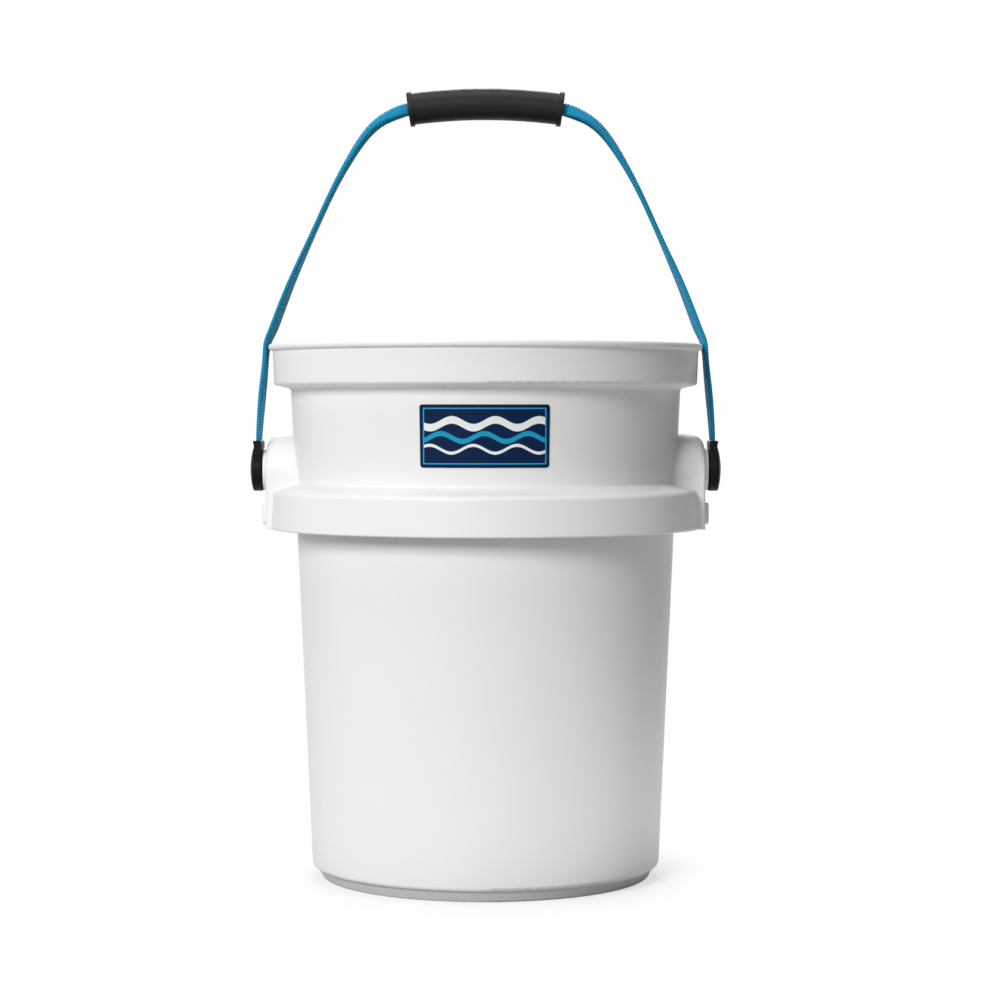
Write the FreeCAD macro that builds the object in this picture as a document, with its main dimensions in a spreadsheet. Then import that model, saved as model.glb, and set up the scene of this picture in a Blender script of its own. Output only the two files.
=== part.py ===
import FreeCAD, Part
import math
import os
from types import SimpleNamespace

from FreeCAD import Placement, Rotation, Vector
from Sketcher import Constraint

# Driving dimensions in millimetres, angles in degrees and counts. The bucket stands on z = 0 with its
# axis on Z, the handle turns about an axis along X, and the label faces -Y.
SIZES = {
    # Tub: one moulding with a straight tapered wall, measured outside
    "rim_height": 378.0,
    "neck_radius": 138.2,
    "wall_taper": 14.8,
    "wall": 4.2,
    "floor_height": 17.0,
    "floor_wall": 5.0,
    "floor_fillet": 12.0,
    # Rim: a band that stands out from the neck on a sloping step, with a lip on top
    "lip_step": 3.0,
    "lip_height": 4.6,
    "lip_edge": 2.1,
    "lip_root": 0.8,
    "band_step": 12.8,
    "band_height": 24.3,
    "band_slope": 2.7,
    "band_draft": 1.0,
    "band_edge": 2.4,
    "band_fillet": 2.4,
    # Collar: a skirt round the wall, open below and stiffened by gussets
    "collar_step": 13.1,
    "collar_flare": 1.6,
    "collar_drop": 42.0,
    "collar_height": 27.0,
    "collar_rise": 5.4,
    "collar_wall": 3.6,
    "collar_edge": 4.0,
    "collar_fillet": 1.6,
    "skirt_edge": 1.2,
    "gusset_count": 8,
    "gusset_span": 110.0,
    "gusset_thickness": 2.4,
    "gusset_setback": 5.0,
    # Pivot bosses: hollow, open below, flared at the wall, with a flat outer pad and a rounded brow
    "neck_gap": 32.1,
    "pad_step": 0.8,
    "pad_wall": 5.0,
    "boss_radius": 25.0,
    "boss_wall": 5.5,
    "boss_edge": 2.0,
    "root_spread": 23.0,
    "root_rise": 1.0,
    "flank_depth": 17.0,
    "flank_spread": 5.0,
    "shoulder_depth": 8.5,
    "shoulder_spread": 1.5,
    "brow_depth": 3.0,
    "brow_drop": 2.4,
    "pad_drop": 7.0,
    "land_radius": 15.0,
    "land_rise": 2.9,
    "lug_width": 24.0,
    "lug_height": 15.7,
    "lug_lift": 3.0,
    "lug_rise": 3.4,
    "lug_corner": 2.4,
    "lug_edge": 1.8,
    # Base: a recessed underside with radial ribs, and a groove for the foot ring
    "foot_height": 7.7,
    "foot_width": 18.0,
    "base_edge": 3.4,
    "tongue_inset": 10.1,
    "tongue_width": 4.0,
    "tongue_height": 5.0,
    "tongue_clearance": 0.1,
    "ring_taper": 4.0,
    "ring_edge": 2.0,
    "rib_count": 8,
    "rib_thickness": 2.6,
    "rib_height": 4.0,
    "hub_radius": 24.0,
    # Label on the front of the neck
    "label_width": 88.0,
    "label_height": 42.0,
    "label_gap": 11.1,
    "label_thickness": 0.4,
    "label_glue": 0.1,
    "label_corner": 2.0,
    # Pivot pin, bush, washer and clip
    "pin_radius": 4.5,
    "pin_head_radius": 9.0,
    "pin_head": 1.6,
    "pin_tail": 1.6,
    "pin_edge": 0.6,
    "running_clearance": 0.05,
    "end_play": 0.2,
    "bush_wall": 2.0,
    "bush_flange": 1.0,
    "bush_flange_radius": 10.5,
    "washer_radius": 8.0,
    "washer_thickness": 1.2,
    "clip_radius": 7.6,
    "clip_groove": 1.0,
    "clip_thickness": 1.0,
    "clip_mouth": 6.0,
    # Strap end: a domed disc with a neck round the webbing
    "knob_margin": 3.0,
    "knob_cover": 0.8,
    "knob_dome": 2.2,
    "knob_edge": 1.3,
    "knob_gap": 0.4,
    "knob_skin": 1.0,
    "recess_clearance": 0.4,
    "neck_rise": 4.8,
    "neck_wall": 1.25,
    "neck_side": 2.0,
    "neck_lip": 0.9,
    "neck_lip_height": 3.0,
    "neck_edge": 1.0,
    # Webbing strap
    "strap_width": 25.0,
    "strap_thickness": 2.8,
    "strap_lip_gap": 0.2,
    "strap_bow": 1.5,
    "strap_low_bend": 90.0,
    "strap_lip_bend": 140.0,
    "strap_shoulder_bend": 48.0,
    "strap_shoulder_reach": 26.5,
    "fold_width": 13.0,
    "fold_thickness": 8.0,
    # Grip: a bent rubber tube with a flange at each end
    "grip_rise": 170.0,
    "grip_length": 110.0,
    "grip_radius": 11.2,
    "grip_bend": 400.0,
    "grip_flange_step": 1.2,
    "grip_flange": 3.5,
    "grip_flange_edge": 1.0,
    "grip_clearance": 0.2,
    # How far a cut runs past the surface that it opens
    "overrun": 5.0,
}

LEFT_AND_RIGHT = (("left", 180.0), ("right", 0.0))
HALF_TURN = 180.0
FULL_TURN = 360.0
CLOSE_SHARE = 1e-6


class Size:
    """A length with the spreadsheet expression that gives it."""

    def __init__(self, value, text):
        self.value = float(value)
        self.text = text

    def __add__(self, other):
        return Size(self.value + other.value, f"({self.text} + {other.text})")

    def __sub__(self, other):
        return Size(self.value - other.value, f"({self.text} - {other.text})")

    def __neg__(self):
        return Size(-self.value, f"(-1 * {self.text})")

    def __mul__(self, other):
        return Size(self.value * as_size(other).value, f"({self.text} * {as_size(other).text})")

    def __truediv__(self, other):
        return Size(self.value / as_size(other).value, f"({self.text} / {as_size(other).text})")


def as_size(number):
    return number if isinstance(number, Size) else Size(number, str(number))


def diagonal(one, other):
    return Size(math.hypot(one.value, other.value), f"sqrt({one.text}^2 + {other.text}^2)")


def larger(one, other):
    return Size(max(one.value, other.value), f"max({one.text}; {other.text})")


def turn_of(arc, radius):
    """The angle in degrees that an arc of this length covers at this radius."""
    return arc / radius * (HALF_TURN / math.pi)


doc = FreeCAD.newDocument("bucket")
sheet = doc.addObject("Spreadsheet::Sheet", "sizes")
for row, (alias, number) in enumerate(SIZES.items(), start=1):
    sheet.set(f"A{row}", alias)
    sheet.set(f"B{row}", str(number))
    sheet.setAlias(f"B{row}", alias)
doc.recompute()
size = SimpleNamespace(**{alias: Size(sheet.get(alias), f"sizes.{alias}") for alias in SIZES})
zero = Size(0, "0")


# Sketches and features

def new_body(label, lift=None, turn=0.0):
    body = doc.addObject("PartDesign::Body", label)
    body.Label = label
    body.Placement = Placement(Vector(), Rotation(Vector(0, 0, 1), turn))
    if lift is not None:
        body.setExpression("Placement.Base.z", lift.text)
    return body


def new_sketch(body, name, role, offset=zero, turn=0.0):
    """A sketch on a plane of the body's origin, moved along its normal and turned about its own y."""
    sketch = body.newObject("Sketcher::SketchObject", name)
    plane = next(item for item in body.Origin.OriginFeatures if item.Role == role)
    sketch.AttachmentSupport = [(plane, "")]
    sketch.MapMode = "FlatFace"
    sketch.AttachmentOffset = Placement(Vector(), Rotation(Vector(0, 1, 0), turn))
    if offset is not zero:
        sketch.setExpression("AttachmentOffset.Base.z", offset.text)
    return sketch


def bind(sketch, kind, *where, to):
    """Adds a dimension to a sketch and ties it to the sheet."""
    index = sketch.addConstraint(Constraint(kind, *where, to.value))
    sketch.setExpression(f"Constraints[{index}]", to.text)


def place_point(sketch, edge, end, across, up):
    """Places one end of an edge by its two coordinates."""
    for kind, axis, distance in (("DistanceX", -2, across), ("DistanceY", -1, up)):
        if distance is zero:
            sketch.addConstraint(Constraint("PointOnObject", edge, end, axis))
        else:
            bind(sketch, kind, -1, 1, edge, end, to=distance)


def corner(across, up, rounding=None, bulge=None):
    """A corner of an outline, with its rounding and how far the next side bulges to the right."""
    return SimpleNamespace(across=across, up=up, rounding=rounding, bulge=bulge)


def outline(sketch, corners):
    """Draws a closed outline of straight and bulged sides through the corners."""
    points = [Vector(item.across.value, item.up.value, 0) for item in corners]
    ends = points[1:] + points[:1]
    for item, start, end in zip(corners, points, ends):
        if item.bulge is None:
            sketch.addGeometry(Part.LineSegment(start, end))
            continue
        run = end - start
        right = Vector(run.y, -run.x, 0).normalize()
        sketch.addGeometry(Part.Arc(start, (start + end) / 2 + right * item.bulge.value, end))
    arc_ends = {}
    for index, item in enumerate(corners):
        arc_ends[index] = (1, 2)
        if item.bulge is not None:
            first = sketch.Geometry[index].StartPoint
            arc_ends[index] = (1, 2) if first.distanceToPoint(points[index]) < first.distanceToPoint(
                ends[index]) else (2, 1)
    count = len(corners)
    for index, item in enumerate(corners):
        following = (index + 1) % count
        sketch.addConstraint(Constraint(
            "Coincident", index, arc_ends[index][1], following, arc_ends[following][0]))
    for index, item in enumerate(corners):
        place_point(sketch, index, arc_ends[index][0], item.across, item.up)
        if item.bulge is not None:
            after = corners[(index + 1) % count]
            across = after.across - item.across
            up = after.up - item.up
            chord_squared = across * across + up * up
            radius = (chord_squared / 4 + item.bulge * item.bulge) / (item.bulge * 2)
            bind(sketch, "Radius", index, to=radius)
    for index, item in enumerate(corners):
        if item.rounding is not None:
            sketch.fillet(index, arc_ends[index][0], item.rounding.value, True, True)
            bind(sketch, "Radius", len(sketch.Geometry) - 2, to=item.rounding)
    return sketch


def rectangle(sketch, left, right, bottom, top, rounding=None):
    return outline(sketch, [corner(left, bottom, rounding), corner(right, bottom, rounding),
                            corner(right, top, rounding), corner(left, top, rounding)])


def arch(sketch, middle, radius, foot_half, foot):
    """An arch about a middle on the vertical axis, with sides that run tangent to a foot line.

    The foot may lie below the middle or above it."""
    down = -1 if foot.value < middle.value else 1
    drop = foot.value - middle.value
    reach = math.hypot(foot_half.value, drop)
    lean = math.atan2(drop, foot_half.value) - down * math.acos(min(1.0, radius.value / reach))
    centre = Vector(0, middle.value, 0)
    touch = centre + Vector(math.cos(lean), math.sin(lean), 0) * radius.value
    far_touch = Vector(-touch.x, touch.y, 0)
    crown = centre - Vector(0, down * radius.value, 0)
    right_foot = Vector(foot_half.value, foot.value, 0)
    left_foot = Vector(-foot_half.value, foot.value, 0)
    sketch.addGeometry(Part.Arc(touch, crown, far_touch))
    sketch.addGeometry(Part.LineSegment(far_touch, left_foot))
    sketch.addGeometry(Part.LineSegment(left_foot, right_foot))
    sketch.addGeometry(Part.LineSegment(right_foot, touch))
    first_end = 1 if down < 0 else 2
    sketch.addConstraint(Constraint("Tangent", 0, 3 - first_end, 1, 1))
    sketch.addConstraint(Constraint("Coincident", 1, 2, 2, 1))
    sketch.addConstraint(Constraint("Coincident", 2, 2, 3, 1))
    sketch.addConstraint(Constraint("Tangent", 3, 2, 0, first_end))
    sketch.addConstraint(Constraint("PointOnObject", 0, 3, -2))
    bind(sketch, "DistanceY", -1, 1, 0, 3, to=middle)
    bind(sketch, "Radius", 0, to=radius)
    place_point(sketch, 2, 1, -foot_half, foot)
    place_point(sketch, 2, 2, foot_half, foot)
    return sketch


def circles(sketch, up, *radii):
    """Circles about a point on the vertical axis of the sketch."""
    for index, radius in enumerate(radii):
        sketch.addGeometry(Part.Circle(Vector(0, up.value, 0), Vector(0, 0, 1), radius.value))
        bind(sketch, "Radius", index, to=radius)
        if up is zero:
            sketch.addConstraint(Constraint("Coincident", index, 3, -1, 1))
        else:
            sketch.addConstraint(Constraint("PointOnObject", index, 3, -2))
            bind(sketch, "DistanceY", -1, 1, index, 3, to=up)
    return sketch


def extrude(body, kind, sketch, length, both_ways=False, backward=False):
    feature = body.newObject(f"PartDesign::{kind}", f"{sketch.Name}_{kind.lower()}")
    feature.Profile = sketch
    if both_ways:
        feature.SideType = "Symmetric"
    feature.Reversed = backward
    feature.setExpression("Length", length.text)
    doc.recompute()
    return feature


def revolve(body, kind, sketch, axis, angle=None):
    feature = body.newObject(f"PartDesign::{kind}", f"{sketch.Name}_{kind.lower()}")
    feature.Profile = sketch
    feature.ReferenceAxis = (sketch, [axis])
    feature.Angle = FULL_TURN
    if angle is not None:
        feature.Midplane = True
        feature.setExpression("Angle", angle.text)
    doc.recompute()
    return feature


def is_circle(edge, radius):
    if edge.Degenerated or not isinstance(edge.Curve, Part.Circle):
        return False
    return math.isclose(edge.Curve.Radius, radius.value, rel_tol=CLOSE_SHARE)


def round_edges(body, radius, chosen):
    """Rounds the edges of the body that the test picks."""
    base = body.Tip
    names = [f"Edge{number}" for number, edge in enumerate(base.Shape.Edges, start=1) if chosen(edge)]
    feature = body.newObject("PartDesign::Fillet", "fillet")
    feature.Base = (base, names)
    feature.setExpression("Radius", radius.text)
    doc.recompute()
    return feature


def repeat_round(body, feature, count, angle):
    pattern = body.newObject("PartDesign::PolarPattern", f"{feature.Name}_pattern")
    pattern.Originals = [feature]
    pattern.Axis = (feature.Profile[0], ["V_Axis"])
    pattern.setExpression("Occurrences", count.text)
    pattern.setExpression("Angle", angle.text)
    body.Tip = pattern
    doc.recompute()
    return pattern


# Places that several pieces share

lip_bottom = size.rim_height - size.lip_height
step_outer = lip_bottom - size.band_height
band_bottom = step_outer - size.band_slope
base_radius = size.neck_radius - size.wall_taper
band_radius = size.neck_radius + size.band_step
lip_radius = band_radius + size.lip_step
wall_lean = size.wall_taper / (band_bottom - size.foot_height)


def wall_radius(height):
    """The outer radius of the tapered wall at a height."""
    return base_radius + wall_lean * (height - size.foot_height)


boss_crest = band_bottom - size.neck_gap
pivot_height = boss_crest - size.boss_radius
collar_bottom = pivot_height - size.collar_drop
collar_shoulder = collar_bottom + size.collar_height
collar_crest = collar_shoulder + size.collar_rise
collar_radius = size.neck_radius + size.collar_step
skirt_radius = collar_radius + size.collar_flare
floor_underside = size.floor_height - size.floor_wall
foot_inner = base_radius - size.foot_width
tongue_inner = base_radius - size.tongue_inset - size.tongue_width / 2
tongue_outer = tongue_inner + size.tongue_width
pad_face = larger(lip_radius, skirt_radius) + size.pad_step
land_face = pad_face + size.land_rise
pad_inner = pad_face - size.pad_wall
bush_bore = size.pin_radius + size.running_clearance
bush_radius = bush_bore + size.bush_wall
bush_face = land_face + size.bush_flange
knob_inner = land_face + size.knob_gap
recess_floor = bush_face + size.end_play
strap_inner = recess_floor + size.knob_skin
strap_outer = strap_inner + size.strap_thickness
washer_outer = pad_inner - size.end_play
clip_outer = washer_outer - size.washer_thickness
clip_inner = clip_outer - size.clip_thickness
pin_end = clip_inner - size.pin_tail
groove_radius = size.pin_radius - size.clip_groove
knob_radius = size.strap_width / 2 + size.knob_margin
neck_top = knob_radius + size.neck_rise
grip_height = size.rim_height + size.grip_rise
grip_bore = diagonal(size.fold_width, size.fold_thickness) / 2 + size.grip_clearance


def make_tub():
    body = new_body("tub")
    form = new_sketch(body, "form", "XZ_Plane")
    outline(form, [
        corner(zero, floor_underside),
        corner(foot_inner, floor_underside),
        corner(foot_inner, size.foot_height),
        corner(tongue_inner - size.tongue_clearance, size.foot_height),
        corner(tongue_inner - size.tongue_clearance, size.foot_height + size.tongue_height),
        corner(tongue_outer + size.tongue_clearance, size.foot_height + size.tongue_height),
        corner(tongue_outer + size.tongue_clearance, size.foot_height),
        corner(base_radius, size.foot_height, size.base_edge),
        corner(wall_radius(collar_crest - size.collar_wall), collar_crest - size.collar_wall),
        corner(collar_radius - size.collar_wall, collar_shoulder - size.collar_wall),
        corner(skirt_radius - size.collar_wall, collar_bottom, size.skirt_edge),
        corner(skirt_radius, collar_bottom, size.skirt_edge),
        corner(collar_radius, collar_shoulder, size.collar_edge),
        corner(wall_radius(collar_crest), collar_crest, size.collar_fillet),
        corner(size.neck_radius, band_bottom, size.band_fillet),
        corner(band_radius - size.band_draft, step_outer, size.band_edge),
        corner(band_radius, lip_bottom, size.lip_root),
        corner(lip_radius, lip_bottom, size.lip_edge),
        corner(lip_radius, size.rim_height, size.lip_edge),
        corner(zero, size.rim_height),
    ])
    revolve(body, "Revolution", form, "V_Axis")

    # The bosses grow out of the solid form. Each section is an arch with upright sides, given by how far
    # out it stands, how much wider it is than the pad and how much its crest rises.
    stations = [
        ("root", base_radius, size.root_spread, size.root_rise),
        ("flank", pad_face - size.flank_depth, size.flank_spread, zero),
        ("shoulder", pad_face - size.shoulder_depth, size.shoulder_spread, zero),
        ("brow", pad_face - size.brow_depth, zero, -size.brow_drop),
        ("pad", pad_face, zero, -size.pad_drop),
    ]
    for side, sign in (("left", -1), ("right", 1)):
        sections = []
        for name, stand, spread, rise in stations:
            half = size.boss_radius + spread
            sections.append(arch(new_sketch(body, f"{side}_{name}", "YZ_Plane", stand * sign),
                                 boss_crest + rise - half, half, half, collar_bottom))
        loft = body.newObject("PartDesign::AdditiveLoft", f"{side}_boss")
        loft.Profile = sections[0]
        loft.Sections = sections[1:]
        loft.Ruled = False
        doc.recompute()

    def stands_at(edge, distance):
        return math.isclose(abs(edge.CenterOfGravity.x), distance.value, rel_tol=CLOSE_SHARE)

    def on_pad_rim(edge):
        at_bottom = math.isclose(edge.CenterOfGravity.z, collar_bottom.value, rel_tol=CLOSE_SHARE)
        return stands_at(edge, pad_face) and not at_bottom

    round_edges(body, size.boss_edge, on_pad_rim)

    land = circles(new_sketch(body, "land", "YZ_Plane"), pivot_height, size.land_radius)
    extrude(body, "Pad", land, land_face * 2, both_ways=True)
    lug_bottom = collar_bottom + size.lug_lift
    lug_face = pad_face + size.lug_rise
    lug = rectangle(new_sketch(body, "lug", "YZ_Plane"), size.lug_width / -2, size.lug_width / 2,
                    lug_bottom, lug_bottom + size.lug_height, size.lug_corner)
    extrude(body, "Pad", lug, lug_face * 2, both_ways=True)
    round_edges(body, size.lug_edge, lambda edge: stands_at(edge, lug_face))

    # Each boss is hollow behind its pad, and the hollow opens under the collar.
    hollow_radius = size.boss_radius - size.boss_wall
    for side, sign in (("left", -1), ("right", 1)):
        hollow = arch(new_sketch(body, f"{side}_hollow", "YZ_Plane", pad_inner * sign),
                      pivot_height, hollow_radius, hollow_radius, collar_bottom - size.overrun)
        extrude(body, "Pocket", hollow, pad_inner - size.neck_radius, backward=sign < 0)
        bore = circles(new_sketch(body, f"{side}_bore", "YZ_Plane", (land_face + size.overrun) * sign),
                       pivot_height, bush_radius)
        extrude(body, "Pocket", bore, size.overrun * 2 + size.land_rise + size.pad_wall, backward=sign < 0)

    inside = new_sketch(body, "inside", "XZ_Plane")
    band_inner = band_radius - size.wall
    outline(inside, [
        corner(zero, size.floor_height),
        corner(wall_radius(size.floor_height) - size.wall, size.floor_height, size.floor_fillet),
        corner(size.neck_radius - size.wall, band_bottom + size.wall, size.band_fillet),
        corner(band_inner - size.band_draft, step_outer + size.wall, size.band_fillet),
        corner(band_inner, size.rim_height),
        corner(band_inner, size.rim_height + size.overrun),
        corner(zero, size.rim_height + size.overrun),
    ])
    revolve(body, "Groove", inside, "V_Axis")

    # Gussets between the wall and the skirt, clear of the bosses, in front and behind.
    spread = (HALF_TURN - SIZES["gusset_span"]) / 2
    gusset_bottom = collar_bottom + size.gusset_setback
    for name, start in (("rear_gusset", spread), ("front_gusset", spread + HALF_TURN)):
        web = rectangle(new_sketch(body, name, "XZ_Plane", turn=start),
                        wall_radius(gusset_bottom) - size.wall / 2,
                        collar_radius - size.collar_wall / 2,
                        gusset_bottom, collar_shoulder - size.collar_wall / 2)
        pad = extrude(body, "Pad", web, size.gusset_thickness, both_ways=True)
        repeat_round(body, pad, size.gusset_count, size.gusset_span)

    # Radial ribs and a hub under the floor.
    hub = circles(new_sketch(body, "hub", "XY_Plane", floor_underside - size.rib_height), zero,
                  size.hub_radius, size.hub_radius - size.rib_thickness)
    extrude(body, "Pad", hub, size.rib_height + size.floor_wall / 2)
    rib_foot_share = 0.25
    rib = rectangle(new_sketch(body, "rib", "XZ_Plane"), size.hub_radius - size.rib_thickness / 2,
                    foot_inner + size.foot_width * rib_foot_share, floor_underside - size.rib_height,
                    floor_underside + size.floor_wall / 2)
    pad = extrude(body, "Pad", rib, size.rib_thickness, both_ways=True)
    repeat_round(body, pad, size.rib_count, Size(FULL_TURN, str(FULL_TURN)))
    return body


def make_foot_ring():
    body = new_body("foot_ring")
    ring_outer = base_radius - size.base_edge
    section = outline(new_sketch(body, "section", "XZ_Plane"), [
        corner(foot_inner, zero, size.ring_edge),
        corner(ring_outer - size.ring_taper, zero, size.ring_edge),
        corner(ring_outer, size.foot_height),
        corner(tongue_outer, size.foot_height),
        corner(tongue_outer, size.foot_height + size.tongue_height),
        corner(tongue_inner, size.foot_height + size.tongue_height),
        corner(tongue_inner, size.foot_height),
        corner(foot_inner, size.foot_height),
    ])
    revolve(body, "Revolution", section, "V_Axis")
    return body


def make_front_label():
    body = new_body("front_label")
    high = band_bottom - size.label_gap
    low = high - size.label_height
    back_low = wall_radius(low) + size.label_glue
    back_high = wall_radius(high) + size.label_glue
    section = outline(new_sketch(body, "section", "YZ_Plane"), [
        corner(-back_low, low),
        corner(-back_high, high),
        corner(-(back_high + size.label_thickness), high),
        corner(-(back_low + size.label_thickness), low),
    ])
    revolve(body, "Revolution", section, "V_Axis", turn_of(size.label_width, back_high))

    def is_corner(edge):
        return math.isclose(edge.Length, size.label_thickness.value, rel_tol=CLOSE_SHARE)

    round_edges(body, size.label_corner, is_corner)
    return body


def make_pivot_bush(side, turn):
    body = new_body(f"{side}_pivot_bush", pivot_height, turn)
    section = outline(new_sketch(body, "section", "XZ_Plane"), [
        corner(pad_inner, bush_bore),
        corner(bush_face, bush_bore),
        corner(bush_face, size.bush_flange_radius),
        corner(land_face, size.bush_flange_radius),
        corner(land_face, bush_radius),
        corner(pad_inner, bush_radius),
    ])
    revolve(body, "Revolution", section, "H_Axis")
    return body


def make_pivot_pin(side, turn):
    body = new_body(f"{side}_pivot_pin", pivot_height, turn)
    head_face = strap_outer + size.pin_head
    section = outline(new_sketch(body, "section", "XZ_Plane"), [
        corner(pin_end, zero),
        corner(head_face, zero),
        corner(head_face, size.pin_head_radius),
        corner(strap_outer, size.pin_head_radius),
        corner(strap_outer, size.pin_radius),
        corner(clip_outer, size.pin_radius),
        corner(clip_outer, groove_radius),
        corner(clip_inner, groove_radius),
        corner(clip_inner, size.pin_radius),
        corner(pin_end, size.pin_radius, size.pin_edge),
    ])
    revolve(body, "Revolution", section, "H_Axis")
    return body


def make_pin_washer(side, turn):
    body = new_body(f"{side}_pin_washer", pivot_height, turn)
    ring = circles(new_sketch(body, "ring", "YZ_Plane", clip_outer), zero, size.washer_radius, bush_bore)
    extrude(body, "Pad", ring, size.washer_thickness)
    return body


def make_retaining_clip(side, turn):
    body = new_body(f"{side}_retaining_clip", pivot_height, turn)
    ring = circles(new_sketch(body, "ring", "YZ_Plane", clip_inner), zero, size.clip_radius, groove_radius)
    extrude(body, "Pad", ring, size.clip_thickness)
    mouth = rectangle(new_sketch(body, "mouth", "YZ_Plane", clip_inner), size.clip_mouth / -2,
                      size.clip_mouth / 2, zero, size.clip_radius + size.overrun)
    extrude(body, "Pocket", mouth, size.clip_thickness, backward=True)
    return body


def make_strap_end(side, turn):
    body = new_body(f"{side}_strap_end", pivot_height, turn)
    knob_rim = strap_outer + size.pin_head + size.knob_cover
    bulge_share = 0.25
    disc = outline(new_sketch(body, "disc", "XZ_Plane"), [
        corner(knob_inner, zero),
        corner(knob_rim + size.knob_dome, zero, bulge=size.knob_dome * bulge_share),
        corner(knob_rim, knob_radius),
        corner(knob_inner, knob_radius),
    ])
    revolve(body, "Revolution", disc, "H_Axis")

    round_edges(body, size.knob_edge, lambda edge: is_circle(edge, knob_radius))
    neck_inner = strap_inner - size.neck_wall
    neck_outer = strap_outer + size.neck_wall
    neck = outline(new_sketch(body, "neck", "XZ_Plane"), [
        corner(neck_inner, zero),
        corner(neck_outer, zero),
        corner(neck_outer, neck_top - size.neck_lip_height),
        corner(neck_outer + size.neck_lip, neck_top, size.neck_edge),
        corner(neck_inner, neck_top, size.neck_edge),
    ])
    extrude(body, "Pad", neck, size.strap_width + size.neck_side * 2, both_ways=True)
    seat = outline(new_sketch(body, "seat", "XZ_Plane"), [
        corner(knob_inner - size.overrun, zero),
        corner(strap_outer + size.pin_head, zero),
        corner(strap_outer + size.pin_head, size.pin_head_radius),
        corner(strap_outer, size.pin_head_radius),
        corner(strap_outer, size.pin_radius),
        corner(recess_floor, size.pin_radius),
        corner(recess_floor, size.bush_flange_radius + size.recess_clearance),
        corner(knob_inner - size.overrun, size.bush_flange_radius + size.recess_clearance),
    ])
    revolve(body, "Groove", seat, "H_Axis")
    slot = arch(new_sketch(body, "slot", "YZ_Plane", strap_inner), zero, size.strap_width / 2,
                size.strap_width / 2, neck_top + size.overrun)
    extrude(body, "Pocket", slot, size.strap_thickness, backward=True)
    return body


def make_grip():
    body = new_body("grip", grip_height - size.grip_bend)
    flange_radius = size.grip_radius + size.grip_flange_step
    tube = circles(new_sketch(body, "tube", "YZ_Plane"), size.grip_bend, flange_radius, grip_bore)
    revolve(body, "Revolution", tube, "H_Axis", turn_of(size.grip_length, size.grip_bend))
    waist = circles(new_sketch(body, "waist", "YZ_Plane"), size.grip_bend,
                    flange_radius + size.overrun, size.grip_radius)
    revolve(body, "Groove", waist, "H_Axis",
            turn_of(size.grip_length - size.grip_flange * 2, size.grip_bend))
    round_edges(body, size.grip_flange_edge, lambda edge: is_circle(edge, flange_radius))
    return body


# The webbing, whose section changes along a bent route

def strap_corners():
    """Corners of the route of one half, in x and z, each with the radius of its bend."""
    middle = (strap_inner.value + strap_outer.value) / 2
    half_turn = size.grip_length.value / 2 / size.grip_bend.value
    grip_end = Vector(math.sin(half_turn), 0, math.cos(half_turn)) * size.grip_bend.value
    grip_end.z += grip_height.value - size.grip_bend.value
    along = Vector(math.cos(half_turn), 0, -math.sin(half_turn))
    shoulder = grip_end + along * size.strap_shoulder_reach.value
    mouth = Vector(middle, 0, pivot_height.value + neck_top.value)

    # The bend over the lip passes it with a small gap, so its corner lies further out.
    lip_bend = size.strap_lip_bend.value
    lip = Vector(lip_radius.value + size.strap_lip_gap.value + size.strap_thickness.value / 2, 0,
                 size.rim_height.value - size.lip_height.value / 2)
    arriving = (lip - mouth).normalize()
    leaving = (shoulder - lip).normalize()
    outward = (arriving - leaving).normalize()
    lip += outward * (lip_bend / math.cos(arriving.getAngle(leaving) / 2) - lip_bend)
    run = shoulder - lip
    outward = Vector(run.z, 0, -run.x).normalize()
    bow = lip + run / 2 + outward * size.strap_bow.value
    bow_turn = 4 * size.strap_bow.value / run.Length
    bow_share = 0.5
    bow_bend = bow_share * run.Length / 2 / math.tan(bow_turn / 2)

    # The first bend starts at the mouth of the strap end and points the webbing at the lip.
    bend = size.strap_low_bend.value
    aside = middle - lip.x
    climb = lip.z - mouth.z
    rise = bend * (climb - math.sqrt(climb ** 2 - (2 * bend - aside) * aside)) / (2 * bend - aside)
    return [
        (Vector(middle, 0, pivot_height.value), None),
        (Vector(middle, 0, mouth.z + rise), bend),
        (lip, lip_bend),
        (bow, bow_bend),
        (shoulder, size.strap_shoulder_bend.value),
        (grip_end, None),
    ]


def rounded_route(corners):
    """Edges of straight runs joined by tangent arcs, from the first corner to the last."""
    edges = []
    start = corners[0][0]
    for before, (point, radius), after in zip(corners, corners[1:-1], corners[2:]):
        arriving = (point - before[0]).normalize()
        leaving = (after[0] - point).normalize()
        turn = arriving.getAngle(leaving)
        setback = radius * math.tan(turn / 2)
        bend_start = point - arriving * setback
        bend_end = point + leaving * setback
        inward = (leaving - arriving).normalize()
        bend_middle = point + inward * (radius / math.cos(turn / 2) - radius)
        edges.append(Part.LineSegment(start, bend_start).toShape())
        edges.append(Part.Arc(bend_start, bend_middle, bend_end).toShape())
        start = bend_end
    edges.append(Part.LineSegment(start, corners[-1][0]).toShape())
    return edges


def strap_section(point, along, width, thickness):
    """A rectangle square to the route, with its width along Y."""
    normal = Vector(0, 1, 0).cross(along).normalize()
    across = Vector(0, width / 2, 0)
    out = normal * (thickness / 2)
    return Part.makePolygon([point + across + out, point - across + out, point - across - out,
                             point + across - out, point + across + out])


def swept(edges, width, thickness):
    start = edges[0].valueAt(edges[0].FirstParameter)
    along = edges[0].tangentAt(edges[0].FirstParameter)
    return Part.Wire(edges).makePipeShell([strap_section(start, along, width, thickness)], True, False)


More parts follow.
